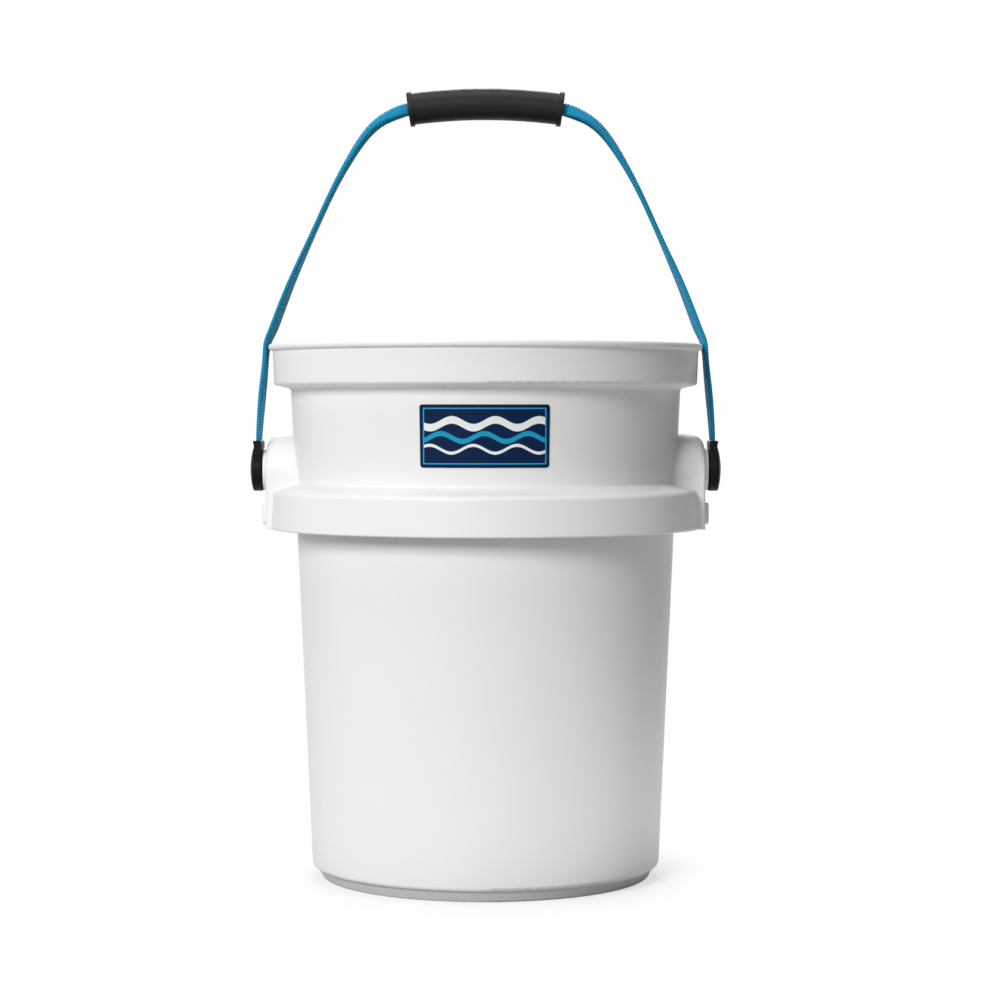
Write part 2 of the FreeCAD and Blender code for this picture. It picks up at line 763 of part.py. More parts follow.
def make_webbing_strap():
    width = size.strap_width.value
    thickness = size.strap_thickness.value
    *flat_edges, shoulder_arc, last_run = rounded_route(strap_corners())
    flat = swept(flat_edges, width, thickness)

    # Round the shoulder the webbing folds up to go through the grip.
    fold_shares = (0.0, 0.25, 0.5, 0.75, 1.0)
    sections = []
    for share in fold_shares:
        first, last = shoulder_arc.ParameterRange
        place = first + (last - first) * share
        eased = share * share * (3 - 2 * share)
        sections.append(strap_section(
            shoulder_arc.valueAt(place), shoulder_arc.tangentAt(place),
            width + (size.fold_width.value - width) * eased,
            thickness + (size.fold_thickness.value - thickness) * eased))
    fold = Part.makeLoft(sections, True, True)
    run = swept([last_run], size.fold_width.value, size.fold_thickness.value)

    bend_centre = Vector(0, 0, grip_height.value - size.grip_bend.value)
    half_turn = math.degrees(size.grip_length.value / 2 / size.grip_bend.value)
    middle = strap_section(Vector(0, 0, grip_height.value), Vector(1, 0, 0),
                           size.fold_width.value, size.fold_thickness.value)
    core = Part.Face(middle).revolve(bend_centre, Vector(0, 1, 0), half_turn)

    end_middle = Vector(strap_inner.value, 0, pivot_height.value)
    end = Part.makeCylinder(width / 2, thickness, end_middle, Vector(1, 0, 0))
    hole = Part.makeCylinder(size.pin_radius.value, thickness, end_middle, Vector(1, 0, 0))
    half = flat.multiFuse([end, fold, run, core]).cut(hole)
    other = half.copy()
    other.rotate(Vector(), Vector(0, 0, 1), HALF_TURN)
    strap = doc.addObject("Part::Feature", "webbing_strap")
    strap.Shape = half.fuse(other).removeSplitter()
    strap.Label = "webbing_strap"
    strap.Placement = Placement()
    route_length = sum(edge.Length for edge in [*flat_edges, shoulder_arc, last_run])
    print(f"webbing from pivot to pivot {2 * route_length + size.grip_length.value:.0f} mm")
    return strap


sub_parts = [make_tub(), make_foot_ring(), make_front_label()]
for side, turn in LEFT_AND_RIGHT:
    for make in (make_pivot_bush, make_pivot_pin, make_pin_washer, make_retaining_clip, make_strap_end):
        sub_parts.append(make(side, turn))
sub_parts += [make_grip(), make_webbing_strap()]
doc.recompute()

for item in doc.Objects:
    if "Invalid" in item.State or "Error" in item.State:
        raise RuntimeError(f"{item.Label} failed: {item.State}")
for sub_part in sub_parts:
    shape = sub_part.Shape
    if shape.isNull() or not shape.isValid() or len(shape.Solids) != 1:
        raise RuntimeError(f"{sub_part.Label} is not one valid solid")

os.makedirs("parts", exist_ok=True)
for sub_part in sub_parts:
    sub_part.Shape.exportStep(f"parts/{sub_part.Label}.step")
    print(f"{sub_part.Label}: {sub_part.Shape.Volume / 1000:.2f} cm3")
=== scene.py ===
import math

import bmesh
import bpy
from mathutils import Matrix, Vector


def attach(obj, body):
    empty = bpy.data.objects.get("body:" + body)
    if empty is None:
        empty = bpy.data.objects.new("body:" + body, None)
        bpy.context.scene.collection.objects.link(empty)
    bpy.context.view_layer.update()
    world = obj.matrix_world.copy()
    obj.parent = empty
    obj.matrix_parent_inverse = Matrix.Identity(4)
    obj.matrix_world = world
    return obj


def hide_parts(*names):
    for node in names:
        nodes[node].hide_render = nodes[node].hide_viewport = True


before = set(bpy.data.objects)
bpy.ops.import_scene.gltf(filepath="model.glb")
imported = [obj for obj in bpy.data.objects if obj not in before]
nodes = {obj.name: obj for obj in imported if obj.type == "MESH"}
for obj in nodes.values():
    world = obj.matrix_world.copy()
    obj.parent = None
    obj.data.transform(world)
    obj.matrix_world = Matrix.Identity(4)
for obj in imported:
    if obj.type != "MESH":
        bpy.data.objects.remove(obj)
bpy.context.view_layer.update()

scene = bpy.context.scene
mm = 0.001
noiseRange = (0.3, 0.7)     # where nearly all of a noise texture's values lie
plainWhite = (1, 1, 1, 1)


def toLinear(code):
    channels = [int(code[i:i + 2], 16) / 255 for i in (1, 3, 5)]
    return [c / 12.92 if c <= 0.04045 else ((c + 0.055) / 1.055) ** 2.4 for c in channels] + [1.0]


def addNode(tree, kind, inputs, **settings):
    # Sockets go by name or by number. A colour Mix has its colours at 6 and 7 and its result at output 2.
    node = tree.nodes.new(kind)
    for name, value in settings.items():
        setattr(node, name, value)
    for socket, value in inputs.items():
        if isinstance(value, bpy.types.Node):
            value = value.outputs[0]
        if isinstance(value, bpy.types.NodeSocket):
            tree.links.new(value, node.inputs[socket])
        else:
            node.inputs[socket].default_value = value
    return node


def newMaterial(name):
    material = bpy.data.materials.new(name)
    material.use_nodes = True
    material.node_tree.nodes.clear()
    return material, material.node_tree


def perMetre(millimetres):
    return 1000 / millimetres


def eased(share):
    share = max(0.0, min(1.0, share))
    return share * share * (3 - 2 * share)


# Camera: level with the upper body, a little right of the axis, long lens
photoCamera = {"across": 0.0102, "distance": 1.95, "height": 0.335, "pitch": 1.99,
               "lens": 98.57, "sensor": 36, "sight": 50}


def makeCamera():
    data = bpy.data.cameras.new("photoCamera")
    data.lens = photoCamera["lens"]
    data.sensor_width = photoCamera["sensor"]
    data.clip_end = photoCamera["sight"]
    camera = bpy.data.objects.new("photoCamera", data)
    camera.location = (photoCamera["across"], -photoCamera["distance"], photoCamera["height"])
    camera.rotation_euler = (math.radians(90 - photoCamera["pitch"]), 0, 0)
    scene.collection.objects.link(camera)
    scene.camera = camera


# Studio: a softbox at the front left, weak ones round it, white paper floor
studio = {
    "lamps": {
        "key": {"turn": -28, "rise": 26, "away": 6.0, "width": 2.2, "power": 256},
        "side": {"turn": -100, "rise": 12, "away": 2.4, "width": 1.2, "power": 9},
        "front": {"turn": 5, "rise": 6, "away": 3.0, "width": 1.8, "power": 9},
        "top": {"turn": 0, "rise": 80, "away": 2.5, "width": 1.5, "power": 24},
        "rear": {"turn": 180, "rise": 30, "away": 3.0, "width": 1.8, "power": 55},
    },
    "aimHeight": 0.25,
    "worldLight": 0.02,
    "floorHalf": 12,
    "paper": "#A0A0A0",
    "paperGlow": 0.66,      # what the paper is short of white where the softbox lights it
    "whiteFrom": 0.12, "whiteAt": 0.18,     # metres from the middle, where the paper turns plain white
    # light thrown up by the paper in a ring round the foot, more on the shaded side
    "card": 0.35, "cardShaded": 1.3,
    "cardStarts": 0.02, "cardFull": 0.2,    # metres to the right
    "cardRing": {"from": 0.14, "full": 0.19, "fades": 0.24, "ends": 0.36},      # metres from the middle
}


def seenRays(tree):
    rays = addNode(tree, "ShaderNodeLightPath", {})
    seen = rays.outputs["Is Camera Ray"]
    for name in ("Is Glossy Ray", "Is Transmission Ray"):
        seen = addNode(tree, "ShaderNodeMath", {0: seen, 1: rays.outputs[name]},
                       operation="MAXIMUM").outputs[0]
    return seen


def makeLamps():
    aim = Vector((0, 0, studio["aimHeight"]))
    for name, lamp in studio["lamps"].items():
        data = bpy.data.lights.new(name, "AREA")
        data.size = lamp["width"]
        data.energy = lamp["power"]
        turn, rise = math.radians(lamp["turn"]), math.radians(lamp["rise"])
        away = Vector((math.sin(turn) * math.cos(rise), -math.cos(turn) * math.cos(rise), math.sin(rise)))
        light = bpy.data.objects.new(name, data)
        light.location = aim + away * lamp["away"]
        light.rotation_euler = away.to_track_quat("Z", "Y").to_euler()
        scene.collection.objects.link(light)


def makeWorld():
    world = bpy.data.worlds.new("studioWorld")
    world.use_nodes = True
    tree = world.node_tree
    tree.nodes.clear()
    strength = addNode(tree, "ShaderNodeMapRange", {0: seenRays(tree), 3: studio["worldLight"], 4: 1.0})
    sky = addNode(tree, "ShaderNodeBackground", {0: plainWhite, 1: strength})
    addNode(tree, "ShaderNodeOutputWorld", {0: sky})
    scene.world = world


def mattPaper():
    # Matt paper: keeps the soft shadow round the foot and is plain white further out
    material, tree = newMaterial("matt white paper")
    seen = seenRays(tree)
    place = addNode(tree, "ShaderNodeTexCoord", {}).outputs["Object"]
    reach = addNode(tree, "ShaderNodeVectorMath", {0: place}, operation="LENGTH").outputs["Value"]
    far = addNode(tree, "ShaderNodeMapRange", {0: reach, 1: studio["whiteFrom"], 2: studio["whiteAt"]},
                  interpolation_type="SMOOTHSTEP")
    plain = addNode(tree, "ShaderNodeMath", {0: far, 1: seen}, operation="MULTIPLY")
    across = addNode(tree, "ShaderNodeSeparateXYZ", {0: place})
    shaded = addNode(tree, "ShaderNodeMapRange", {
        0: across, 1: studio["cardStarts"], 2: studio["cardFull"],
        3: studio["card"], 4: studio["cardShaded"]})
    ring = studio["cardRing"]
    inner = addNode(tree, "ShaderNodeMapRange", {
        0: reach, 1: ring["from"], 2: ring["full"], 3: 0.0, 4: shaded})
    card = addNode(tree, "ShaderNodeMapRange", {
        0: reach, 1: ring["fades"], 2: ring["ends"], 3: inner, 4: 0.0})
    lift = addNode(tree, "ShaderNodeMapRange", {0: seen, 3: card, 4: studio["paperGlow"]})
    paper = addNode(tree, "ShaderNodeBsdfDiffuse", {0: toLinear(studio["paper"])})
    glow = addNode(tree, "ShaderNodeEmission", {0: plainWhite, 1: lift})
    near = addNode(tree, "ShaderNodeAddShader", {0: paper, 1: glow})
    white = addNode(tree, "ShaderNodeEmission", {0: plainWhite, 1: 1.0})
    mix = addNode(tree, "ShaderNodeMixShader", {0: plain, 1: near, 2: white})
    addNode(tree, "ShaderNodeOutputMaterial", {0: mix})
    return material


def makeFloor():
    bm = bmesh.new()
    bmesh.ops.create_grid(bm, x_segments=1, y_segments=1, size=studio["floorHalf"])
    mesh = bpy.data.meshes.new("paperFloor")
    bm.to_mesh(mesh)
    bm.free()
    mesh.materials.append(mattPaper())
    floor = bpy.data.objects.new("paperFloor", mesh)
    scene.collection.objects.link(floor)


makeCamera()
makeLamps()
makeWorld()
makeFloor()
scene.view_settings.view_transform = "Standard"
print("camera and studio made")

# Webbing: one length from pivot to pivot. It lies flat against the lip and curls up to go through the grip.
webbing = {
    "width": 25, "thickness": 2.8,
    "ribPitch": 1.9, "ribDepth": 0.16, "gatherDepth": 0.4, "gatherFade": 6, "edgeBead": 0.26,
    "around": 52, "ringsPerRib": 4,
    "evenShare": 0.6,       # how evenly the points lie across the section, the rest of it crowds at the edges
    # half the route, x and z in millimetres, from the strap end to the middle of the grip
    "route": [(161.3, 294.5), (161.3, 303), (161.3, 313.5), (159.3, 339), (156.9, 362), (156.1, 373.5),
              (155, 380.3), (150.6, 389.5), (144.7, 405.5), (137.4, 424), (122.4, 457.5), (107, 491),
              (92.6, 516), (82.5, 529.5), (73.6, 536.7), (63.7, 541.3), (54.5, 544.3), (27, 547.9)],
    "routeOrder": 3, "routeSteps": 40,
    # inside the strap ends it is flatter, a little narrower, and its ribs are pressed out
    "mouthHeight": 309.6, "clampFade": 6, "clampedShare": 0.88, "clampNarrows": 0.03, "clampFlattens": 0.6,
    "gripEnd": 54.8, "curl": 235, "leastCurl": 1e-3, "curlFade": 24, "foldedShare": 0.78, "foldFade": 12,
    # degrees that the front edge leans out: (left, right), where, and how far it fades downwards and upwards
    "twists": [{"turn": (2.4, 2.2), "height": 343, "reach": (32, 30)},
               {"turn": (5, 5), "height": 392, "reach": (26, 70)},
               {"turn": (-1.5, -3.5), "height": 484, "reach": (60, 50)}],
}


def webbingRoute():
    half = webbing["route"]
    curve = bpy.data.curves.new("webbingRoute", "CURVE")
    curve.dimensions = "3D"
    curve.resolution_u = webbing["routeSteps"]
    spline = curve.splines.new("NURBS")
    points = [(-x, z) for x, z in half] + [(x, z) for x, z in reversed(half)]
    spline.points.add(len(points) - 1)
    for point, (x, z) in zip(spline.points, points):
        point.co = (x * mm, 0, z * mm, 1)
    spline.order_u = webbing["routeOrder"]
    spline.use_endpoint_u = True
    holder = bpy.data.objects.new("webbingRoute", curve)
    mesh = bpy.data.meshes.new_from_object(holder)
    places = [vertex.co.copy() for vertex in mesh.vertices]
    bpy.data.objects.remove(holder)
    bpy.data.curves.remove(curve)
    bpy.data.meshes.remove(mesh)
    return places


def evenly(places, count):
    # Points at even distances along a line, each with its direction
    walked = [0.0]
    for one, other in zip(places, places[1:]):
        walked.append(walked[-1] + (other - one).length)
    spots = []
    index = 0
    for number in range(count + 1):
        wanted = walked[-1] * number / count
        while index < len(places) - 2 and walked[index + 1] < wanted:
            index += 1
        share = (wanted - walked[index]) / (walked[index + 1] - walked[index])
        spots.append(places[index].lerp(places[index + 1], share))
    directions = [(spots[min(i + 2, count)] - spots[max(i - 2, 0)]).normalized() for i in range(count + 1)]
    return list(zip(spots, directions)), walked[-1]


def webbingTwist(side, height):
    turn = 0.0
    for twist in webbing["twists"]:
        above = height - twist["height"]
        reach = twist["reach"][0 if above < 0 else 1]
        turn += twist["turn"][0 if side < 0 else 1] * eased(1 - abs(above) / reach)
    return math.radians(turn)


def makeWebbing():
    width, thickness, pitch = webbing["width"], webbing["thickness"], webbing["ribPitch"]
    even = webbing["evenShare"]
    places = webbingRoute()
    total = sum((b - a).length for a, b in zip(places, places[1:])) / mm
    rings = round(total / pitch) * webbing["ringsPerRib"]
    stations, length = evenly(places, rings)
    step = length / rings

    # One section, rounded at its edges, drawn out straight
    bm = bmesh.new()
    section = bmesh.ops.create_circle(bm, segments=webbing["around"], radius=1)["verts"]
    for vertex in section:
        turn = math.atan2(vertex.co.y, vertex.co.x)
        spread = even * (1 - 2 * abs(turn) / math.pi) + (1 - even) * math.cos(turn)
        across = spread * width / 2
        nose = max(0.0, abs(across) - (width - thickness) / 2) / (thickness / 2)
        out = math.copysign(thickness / 2 * math.sqrt(max(0.0, 1 - nose * nose)), turn)
        vertex.co = (0, across * mm, out * mm)
    bmesh.ops.spin(bm, geom=section + bm.edges[:], cent=(0, 0, 0), axis=(1, 0, 0), dvec=(length, 0, 0),
                   angle=0, steps=1)
    drawn = [edge for edge in bm.edges if abs(edge.verts[0].co.x - edge.verts[1].co.x) > length / 2]
    bmesh.ops.subdivide_edges(bm, edges=drawn, cuts=rings - 1, use_grid_fill=True)
    bmesh.ops.holes_fill(bm, edges=[edge for edge in bm.edges if edge.is_boundary], sides=0)
    bmesh.ops.recalc_face_normals(bm, faces=bm.faces[:])

    # The weave's own map: across and along the webbing in millimetres
    weave = bm.loops.layers.uv.new("weave")
    for face in bm.faces:
        face.smooth = True
        for loop in face.loops:
            loop[weave].uv = (loop.vert.co.y / mm, loop.vert.co.x / mm)

    # Ribs, curl and twist, then onto the route
    for vertex in bm.verts:
        ring = round(vertex.co.x / step)
        place, along = stations[ring]
        outward = Vector((-along.z, 0, along.x))
        across, out = vertex.co.y / mm, vertex.co.z / mm
        height = place.z / mm
        beyond = max(0.0, abs(place.x) / mm - webbing["gripEnd"])
        clamped = 1 - eased((height - webbing["mouthHeight"]) / webbing["clampFade"])

        beat = math.cos(2 * math.pi * ring / webbing["ringsPerRib"])
        depth = webbing["ribDepth"] + webbing["gatherDepth"] * math.exp(-beyond / webbing["gatherFade"])
        depth *= 1 - webbing["clampFlattens"] * clamped
        fullness = abs(out) / (thickness / 2)
        out += beat * depth / 2 * fullness
        across += math.copysign(beat * webbing["edgeBead"] / 2 * (1 - fullness), across)
        out *= 1 - (1 - webbing["clampedShare"]) * clamped
        across *= 1 - webbing["clampNarrows"] * clamped

        fold = math.exp(-beyond / webbing["foldFade"])
        scale = 1 - (1 - webbing["foldedShare"]) * fold
        curl = math.radians(webbing["curl"]) * math.exp(-beyond / webbing["curlFade"])
        curl = max(webbing["leastCurl"], curl)
        radius = width * scale / curl
        lean = curl * across / width
        drop = radius * (1 - math.cos(curl / 2))
        side = (radius + out) * math.sin(lean)
        rise = (radius + out) * math.cos(lean) - radius + drop / 2

        twist = webbingTwist(place.x, height)
        rise, side = rise - side * math.sin(twist), side * math.cos(twist)
        vertex.co = place + outward * (rise * mm) + Vector((0, side * mm, 0))
    mesh = bpy.data.meshes.new("webbing")
    bm.to_mesh(mesh)
    bm.free()
    piece = bpy.data.objects.new("webbing", mesh)
    scene.collection.objects.link(piece)
    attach(piece, "handle")
    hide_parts("webbing_strap")
    print("webbing made,", len(mesh.polygons), "faces,", round(length, 3), "m")
    return piece


strap = makeWebbing()

# Tub. In this and the other looks, sizes and depths are in millimetres.
tubLook = {
    "white": "#F1F1F0", "shade": "#ECECEB", "cloud": 80, "cloudDetail": 3.0,
    "scuff": 14, "scuffDetail": 5.0, "glossy": 0.4, "matt": 0.5,
    "peel": 2.6, "peelDetail": 1.0, "peelDepth": 0.05, "peelStrength": 0.6,
    "ior": 1.51, "shine": 0.35,
}


def polyethylene():
    # Moulded polyethylene: clean white and satin, with a faint orange peel that softens reflections
    material, tree = newMaterial("moulded white polyethylene")
    place = addNode(tree, "ShaderNodeTexCoord", {}).outputs["Object"]
    clouds = addNode(tree, "ShaderNodeTexNoise", {
        "Vector": place, "Scale": perMetre(tubLook["cloud"]), "Detail": tubLook["cloudDetail"]})
    tint = addNode(tree, "ShaderNodeMix", {
        0: clouds, 6: toLinear(tubLook["white"]), 7: toLinear(tubLook["shade"])}, data_type="RGBA")
    scuffs = addNode(tree, "ShaderNodeTexNoise", {
        "Vector": place, "Scale": perMetre(tubLook["scuff"]), "Detail": tubLook["scuffDetail"]})
    rough = addNode(tree, "ShaderNodeMapRange", {
        0: scuffs, 1: noiseRange[0], 2: noiseRange[1], 3: tubLook["glossy"], 4: tubLook["matt"]})
    peel = addNode(tree, "ShaderNodeTexNoise", {
        "Vector": place, "Scale": perMetre(tubLook["peel"]), "Detail": tubLook["peelDetail"]})
    bump = addNode(tree, "ShaderNodeBump", {
        "Height": peel, "Distance": tubLook["peelDepth"] * mm, "Strength": tubLook["peelStrength"]})
    shader = addNode(tree, "ShaderNodeBsdfPrincipled", {
        "Base Color": tint.outputs[2], "Roughness": rough, "Normal": bump, "IOR": tubLook["ior"],
        "Specular IOR Level": tubLook["shine"]})
    addNode(tree, "ShaderNodeOutputMaterial", {0: shader})
    return material


# Foot ring
footLook = {
    "grey": "#E0DDDE", "dark": "#D3D0D1", "smooth": 0.62, "matt": 0.8,
    "grain": 1.2, "grainDetail": 3.0, "grainDepth": 0.12, "grainStrength": 0.7, "ior": 1.52,
}


def footRubber():
    # Moulded rubber: matt grey with a fine grain, drawn coarser than its 0.3 mm so that it shows
    material, tree = newMaterial("moulded grey rubber")
    place = addNode(tree, "ShaderNodeTexCoord", {}).outputs["Object"]
    grain = addNode(tree, "ShaderNodeTexNoise", {
        "Vector": place, "Scale": perMetre(footLook["grain"]), "Detail": footLook["grainDetail"]})
    tint = addNode(tree, "ShaderNodeMix", {
        0: grain, 6: toLinear(footLook["dark"]), 7: toLinear(footLook["grey"])}, data_type="RGBA")
    rough = addNode(tree, "ShaderNodeMapRange", {0: grain, 3: footLook["smooth"], 4: footLook["matt"]})
    bump = addNode(tree, "ShaderNodeBump", {
        "Height": grain, "Distance": footLook["grainDepth"] * mm, "Strength": footLook["grainStrength"]})
    shader = addNode(tree, "ShaderNodeBsdfPrincipled", {
        "Base Color": tint.outputs[2], "Roughness": rough, "Normal": bump, "IOR": footLook["ior"]})
    addNode(tree, "ShaderNodeOutputMaterial", {0: shader})
    return material


# Grip
gripLook = {
    "black": "#151516", "dark": "#0E0E0F", "dust": 6, "dustDetail": 4.0, "glossy": 0.38, "matt": 0.5,
    "line": 0.9, "lineLength": 60, "lineDetail": 2.0, "lineDepth": 0.08, "lineStrength": 0.6,
    "ior": 1.52, "shine": 0.18,
}


def gripRubber():
    # Extruded rubber tube: near black, satin, with faint lines along its length
    material, tree = newMaterial("extruded black rubber")
    place = addNode(tree, "ShaderNodeTexCoord", {}).outputs["Object"]
    along = addNode(tree, "ShaderNodeMapping", {"Vector": place, "Scale": (
        perMetre(gripLook["lineLength"]), perMetre(gripLook["line"]), perMetre(gripLook["line"]))})
    lines = addNode(tree, "ShaderNodeTexNoise", {
        "Vector": along, "Scale": 1.0, "Detail": gripLook["lineDetail"]})
    dust = addNode(tree, "ShaderNodeTexNoise", {
        "Vector": place, "Scale": perMetre(gripLook["dust"]), "Detail": gripLook["dustDetail"]})
    tint = addNode(tree, "ShaderNodeMix", {
        0: dust, 6: toLinear(gripLook["dark"]), 7: toLinear(gripLook["black"])}, data_type="RGBA")
    rough = addNode(tree, "ShaderNodeMapRange", {
        0: dust, 1: noiseRange[0], 2: noiseRange[1], 3: gripLook["glossy"], 4: gripLook["matt"]})
    bump = addNode(tree, "ShaderNodeBump", {
        "Height": lines, "Distance": gripLook["lineDepth"] * mm, "Strength": gripLook["lineStrength"]})
    shader = addNode(tree, "ShaderNodeBsdfPrincipled", {
        "Base Color": tint.outputs[2], "Roughness": rough, "Normal": bump, "IOR": gripLook["ior"],
        "Specular IOR Level": gripLook["shine"]})
    addNode(tree, "ShaderNodeOutputMaterial", {0: shader})
    return material


# Strap ends
endLook = {
    "black": "#0D0D0E", "dark": "#080809", "glossy": 0.42, "matt": 0.52,
    "grain": 0.9, "grainDetail": 2.0, "grainDepth": 0.1, "grainStrength": 0.6, "ior": 1.53, "shine": 0.09,
}


def endNylon():
    # Moulded nylon: black, satin, with a fine spark grain drawn coarser than its 0.2 mm so that it shows
    material, tree = newMaterial("moulded black nylon")
    place = addNode(tree, "ShaderNodeTexCoord", {}).outputs["Object"]
    grain = addNode(tree, "ShaderNodeTexNoise", {
        "Vector": place, "Scale": perMetre(endLook["grain"]), "Detail": endLook["grainDetail"]})
    tint = addNode(tree, "ShaderNodeMix", {
        0: grain, 6: toLinear(endLook["dark"]), 7: toLinear(endLook["black"])}, data_type="RGBA")
    rough = addNode(tree, "ShaderNodeMapRange", {
        0: grain, 1: noiseRange[0], 2: noiseRange[1], 3: endLook["glossy"], 4: endLook["matt"]})
    bump = addNode(tree, "ShaderNodeBump", {
        "Height": grain, "Distance": endLook["grainDepth"] * mm, "Strength": endLook["grainStrength"]})
    shader = addNode(tree, "ShaderNodeBsdfPrincipled", {
        "Base Color": tint.outputs[2], "Roughness": rough, "Normal": bump, "IOR": endLook["ior"],
        "Specular IOR Level": endLook["shine"]})
    addNode(tree, "ShaderNodeOutputMaterial", {0: shader})
    return material


# Webbing weave: heights run from 0 in the gaps to about 1.3 on a crown with its fuzz
weaveLook = {
    # the light and dark weave colours are painted highlight on the yarn crowns and painted shade in the gaps
    # between them
    "light": "#2FB6D9", "blue": "#0985B0", "dark": "#04597B", "sheen": "#2FB4D8",
    "gapShadeToBlue": (0.15, 0.65), "blueToCrownHighlight": (0.7, 1.2),
    "yarn": 1.1, "stagger": 0.5, "ribShare": 0.45, "depth": 0.22, "depthStrength": 0.8,
    "fuzz": 0.5, "fuzzDetail": 2.0, "fuzzShare": 0.35,
    "rough": 0.6, "shine": 0.12, "sheenWeight": 0.08, "sheenRough": 0.4,
}


def wovenPolyester():
    # Woven polyester in ribs across the webbing, with a faint sheen: paler crowns of yarn as painted
    # highlight over darker gaps as painted shade
    material, tree = newMaterial("woven blue polyester")
    uv = addNode(tree, "ShaderNodeUVMap", {}, uv_map="weave")
    parts = addNode(tree, "ShaderNodeSeparateXYZ", {0: uv})
    column = addNode(tree, "ShaderNodeMath", {0: parts.outputs["X"], 1: weaveLook["yarn"]},
                     operation="DIVIDE")
    row = addNode(tree, "ShaderNodeMath", {0: parts.outputs["Y"], 1: webbing["ribPitch"]},
                  operation="DIVIDE")
    whole = addNode(tree, "ShaderNodeMath", {0: column}, operation="FLOOR")
    staggered = addNode(tree, "ShaderNodeMath", {0: whole, 1: weaveLook["stagger"], 2: row},
                        operation="MULTIPLY_ADD")
    crowns = []
    for value in (column, staggered, row):
        turn = addNode(tree, "ShaderNodeMath", {0: value, 1: math.pi}, operation="MULTIPLY")
        wave = addNode(tree, "ShaderNodeMath", {0: turn}, operation="SINE")
        crowns.append(addNode(tree, "ShaderNodeMath", {0: wave}, operation="ABSOLUTE"))
    single = addNode(tree, "ShaderNodeMath", {0: crowns[0], 1: crowns[1]}, operation="MULTIPLY")
    crown = addNode(tree, "ShaderNodeMix", {0: weaveLook["ribShare"], 2: single, 3: crowns[2]})
    fuzz = addNode(tree, "ShaderNodeTexNoise", {
        "Vector": uv, "Scale": 1 / weaveLook["fuzz"], "Detail": weaveLook["fuzzDetail"]})
    height = addNode(tree, "ShaderNodeMath", {0: fuzz, 1: weaveLook["fuzzShare"], 2: crown},
                     operation="MULTIPLY_ADD")
    # painted shade in the gaps and painted highlight on the crowns, set by the weave's height
    paintedGapShade, paintedCrownHighlight = (addNode(tree, "ShaderNodeMapRange", {0: height, 1: start, 2: end})
                 for start, end in (weaveLook["gapShadeToBlue"], weaveLook["blueToCrownHighlight"]))
    tint = addNode(tree, "ShaderNodeMix", {
        0: paintedGapShade, 6: toLinear(weaveLook["dark"]), 7: toLinear(weaveLook["blue"])}, data_type="RGBA")
    tint = addNode(tree, "ShaderNodeMix", {
        0: paintedCrownHighlight, 6: tint.outputs[2], 7: toLinear(weaveLook["light"])}, data_type="RGBA")
    bump = addNode(tree, "ShaderNodeBump", {
        "Height": height, "Distance": weaveLook["depth"] * mm, "Strength": weaveLook["depthStrength"]})
    shader = addNode(tree, "ShaderNodeBsdfPrincipled", {
        "Base Color": tint.outputs[2], "Roughness": weaveLook["rough"], "Normal": bump,
        "Specular IOR Level": weaveLook["shine"], "Sheen Weight": weaveLook["sheenWeight"],
        "Sheen Roughness": weaveLook["sheenRough"], "Sheen Tint": toLinear(weaveLook["sheen"])})
    addNode(tree, "ShaderNodeOutputMaterial", {0: shader})
    return material


# Label: plain wave lines inside a thin frame
labelLook = {
    "field": "#031B3C", "fieldLight": "#062349", "blotch": 9, "blotchDetail": 2.0,
    "frame": "#2FA3CC", "middle": 314.3, "halfWidth": 40.6, "halfHeight": 18.4, "frameWidth": 0.8,
    "frameBlur": 0.1, "inkBlur": 0.12,
    "smooth": 0.46, "matt": 0.56, "ior": 1.52, "shine": 0.08,
    "waves": [
        {"height": 322.5, "swing": 2.6, "length": 29, "shift": 0.0, "half": 2.5, "colour": "#F1F3F4"},
        {"height": 313.4, "swing": 2.6, "length": 29, "shift": 1.6, "half": 1.7, "colour": "#1C9CC8"},
        {"height": 305.6, "swing": 2.6, "length": 29, "shift": 3.2, "half": 1.0, "colour": "#F1F3F4"},
    ],
}


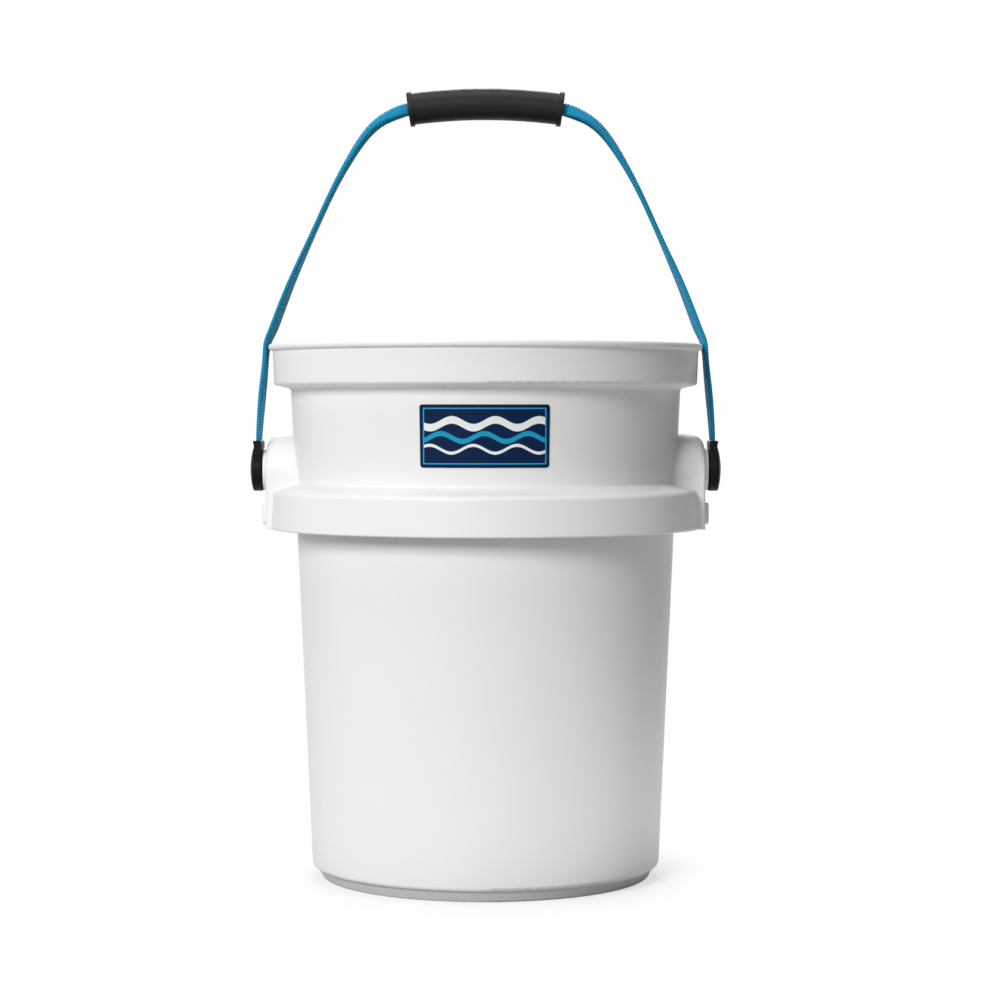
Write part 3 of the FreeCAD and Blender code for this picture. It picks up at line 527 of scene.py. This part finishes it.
def printedVinyl():
    # Screen-printed vinyl film: deep navy with a low satin gloss, and crisp edges to the ink
    material, tree = newMaterial("printed navy vinyl")
    place = addNode(tree, "ShaderNodeTexCoord", {}).outputs["Object"]
    centred = addNode(tree, "ShaderNodeMapping", {
        "Vector": place, "Location": (0, 0, -labelLook["middle"]), "Scale": [perMetre(1)] * 3})
    parts = addNode(tree, "ShaderNodeSeparateXYZ", {0: centred})
    blotch = addNode(tree, "ShaderNodeTexNoise", {
        "Vector": place, "Scale": perMetre(labelLook["blotch"]), "Detail": labelLook["blotchDetail"]})
    tint = addNode(tree, "ShaderNodeMix", {
        0: blotch, 6: toLinear(labelLook["field"]), 7: toLinear(labelLook["fieldLight"])},
        data_type="RGBA").outputs[2]
    blur = labelLook["inkBlur"]
    for wave in labelLook["waves"]:
        turn = addNode(tree, "ShaderNodeMath", {
            0: parts.outputs["X"], 1: 2 * math.pi / wave["length"], 2: wave["shift"]},
            operation="MULTIPLY_ADD")
        swing = addNode(tree, "ShaderNodeMath", {0: turn}, operation="SINE")
        line = addNode(tree, "ShaderNodeMath", {
            0: swing, 1: wave["swing"], 2: wave["height"] - labelLook["middle"]}, operation="MULTIPLY_ADD")
        gap = addNode(tree, "ShaderNodeMath", {0: parts.outputs["Z"], 1: line}, operation="SUBTRACT")
        away = addNode(tree, "ShaderNodeMath", {0: gap}, operation="ABSOLUTE")
        ink = addNode(tree, "ShaderNodeMapRange", {
            0: away, 1: wave["half"] - blur, 2: wave["half"] + blur, 3: 1.0, 4: 0.0})
        tint = addNode(tree, "ShaderNodeMix", {0: ink, 6: tint, 7: toLinear(wave["colour"])},
                       data_type="RGBA").outputs[2]
    # The frame lies on the line where edge is 0, and outside it the field is bare
    beyond = []
    for axis, half in (("X", labelLook["halfWidth"]), ("Z", labelLook["halfHeight"])):
        size = addNode(tree, "ShaderNodeMath", {0: parts.outputs[axis]}, operation="ABSOLUTE")
        beyond.append(addNode(tree, "ShaderNodeMath", {0: size, 1: half}, operation="SUBTRACT"))
    edge = addNode(tree, "ShaderNodeMath", {0: beyond[0], 1: beyond[1]}, operation="MAXIMUM")
    blur, halfLine = labelLook["frameBlur"], labelLook["frameWidth"] / 2
    outside = addNode(tree, "ShaderNodeMapRange", {0: edge, 1: -blur, 2: blur})
    tint = addNode(tree, "ShaderNodeMix", {0: outside, 6: tint, 7: toLinear(labelLook["field"])},
                   data_type="RGBA").outputs[2]
    away = addNode(tree, "ShaderNodeMath", {0: edge}, operation="ABSOLUTE")
    rule = addNode(tree, "ShaderNodeMapRange", {
        0: away, 1: halfLine - blur, 2: halfLine + blur, 3: 1.0, 4: 0.0})
    tint = addNode(tree, "ShaderNodeMix", {0: rule, 6: tint, 7: toLinear(labelLook["frame"])},
                   data_type="RGBA").outputs[2]
    rough = addNode(tree, "ShaderNodeMapRange", {0: blotch, 3: labelLook["smooth"], 4: labelLook["matt"]})
    shader = addNode(tree, "ShaderNodeBsdfPrincipled", {
        "Base Color": tint, "Roughness": rough, "IOR": labelLook["ior"],
        "Specular IOR Level": labelLook["shine"]})
    addNode(tree, "ShaderNodeOutputMaterial", {0: shader})
    return material


# Pivot hardware
steelGrain = {"size": 1.5, "detail": 4.0}
pinLook = {"pale": "#B9BCC0", "dark": "#9FA3A8", "smooth": 0.26, "dull": 0.4}
washerLook = {"pale": "#B9BCC0", "dark": "#9FA3A8", "smooth": 0.3, "dull": 0.45}
clipLook = {"pale": "#7A7D82", "dark": "#5E6166", "smooth": 0.3, "dull": 0.42}


def turnedSteel(name, look):
    # Turned or stamped steel: clean metal with a fine grain, drawn coarser than its 0.1 mm so that it shows
    material, tree = newMaterial(name)
    place = addNode(tree, "ShaderNodeTexCoord", {}).outputs["Object"]
    grain = addNode(tree, "ShaderNodeTexNoise", {
        "Vector": place, "Scale": perMetre(steelGrain["size"]), "Detail": steelGrain["detail"]})
    tint = addNode(tree, "ShaderNodeMix", {
        0: grain, 6: toLinear(look["dark"]), 7: toLinear(look["pale"])}, data_type="RGBA")
    rough = addNode(tree, "ShaderNodeMapRange", {
        0: grain, 1: noiseRange[0], 2: noiseRange[1], 3: look["smooth"], 4: look["dull"]})
    shader = addNode(tree, "ShaderNodeBsdfPrincipled", {
        "Base Color": tint.outputs[2], "Roughness": rough, "Metallic": 1.0})
    addNode(tree, "ShaderNodeOutputMaterial", {0: shader})
    return material


bushLook = {"ivory": "#E4E2DC", "shade": "#D9D6CF", "flow": 2.0, "flowDetail": 2.0,
            "slick": 0.25, "dull": 0.35, "ior": 1.48}


def bushAcetal():
    # Moulded acetal: ivory, slick, with slight flow marks
    material, tree = newMaterial("moulded ivory acetal")
    place = addNode(tree, "ShaderNodeTexCoord", {}).outputs["Object"]
    flow = addNode(tree, "ShaderNodeTexNoise", {
        "Vector": place, "Scale": perMetre(bushLook["flow"]), "Detail": bushLook["flowDetail"]})
    tint = addNode(tree, "ShaderNodeMix", {
        0: flow, 6: toLinear(bushLook["ivory"]), 7: toLinear(bushLook["shade"])}, data_type="RGBA")
    rough = addNode(tree, "ShaderNodeMapRange", {0: flow, 3: bushLook["slick"], 4: bushLook["dull"]})
    shader = addNode(tree, "ShaderNodeBsdfPrincipled", {
        "Base Color": tint.outputs[2], "Roughness": rough, "IOR": bushLook["ior"]})
    addNode(tree, "ShaderNodeOutputMaterial", {0: shader})
    return material


finishes = {
    "tub": polyethylene(),
    "foot_ring": footRubber(),
    "grip": gripRubber(),
    "front_label": printedVinyl(),
    "webbing_strap": wovenPolyester(),
}
hardware = {
    "strap_end": endNylon(),
    "pivot_pin": turnedSteel("zinc plated steel", pinLook),
    "pin_washer": turnedSteel("zinc plated steel washer", washerLook),
    "retaining_clip": turnedSteel("spring steel", clipLook),
    "pivot_bush": bushAcetal(),
}
for side in ("left", "right"):
    for name, material in hardware.items():
        finishes[f"{side}_{name}"] = material
for name, piece in nodes.items():
    piece.data.materials.clear()
    piece.data.materials.append(finishes[name])
strap.data.materials.append(finishes["webbing_strap"])
print("materials made,", len(finishes))
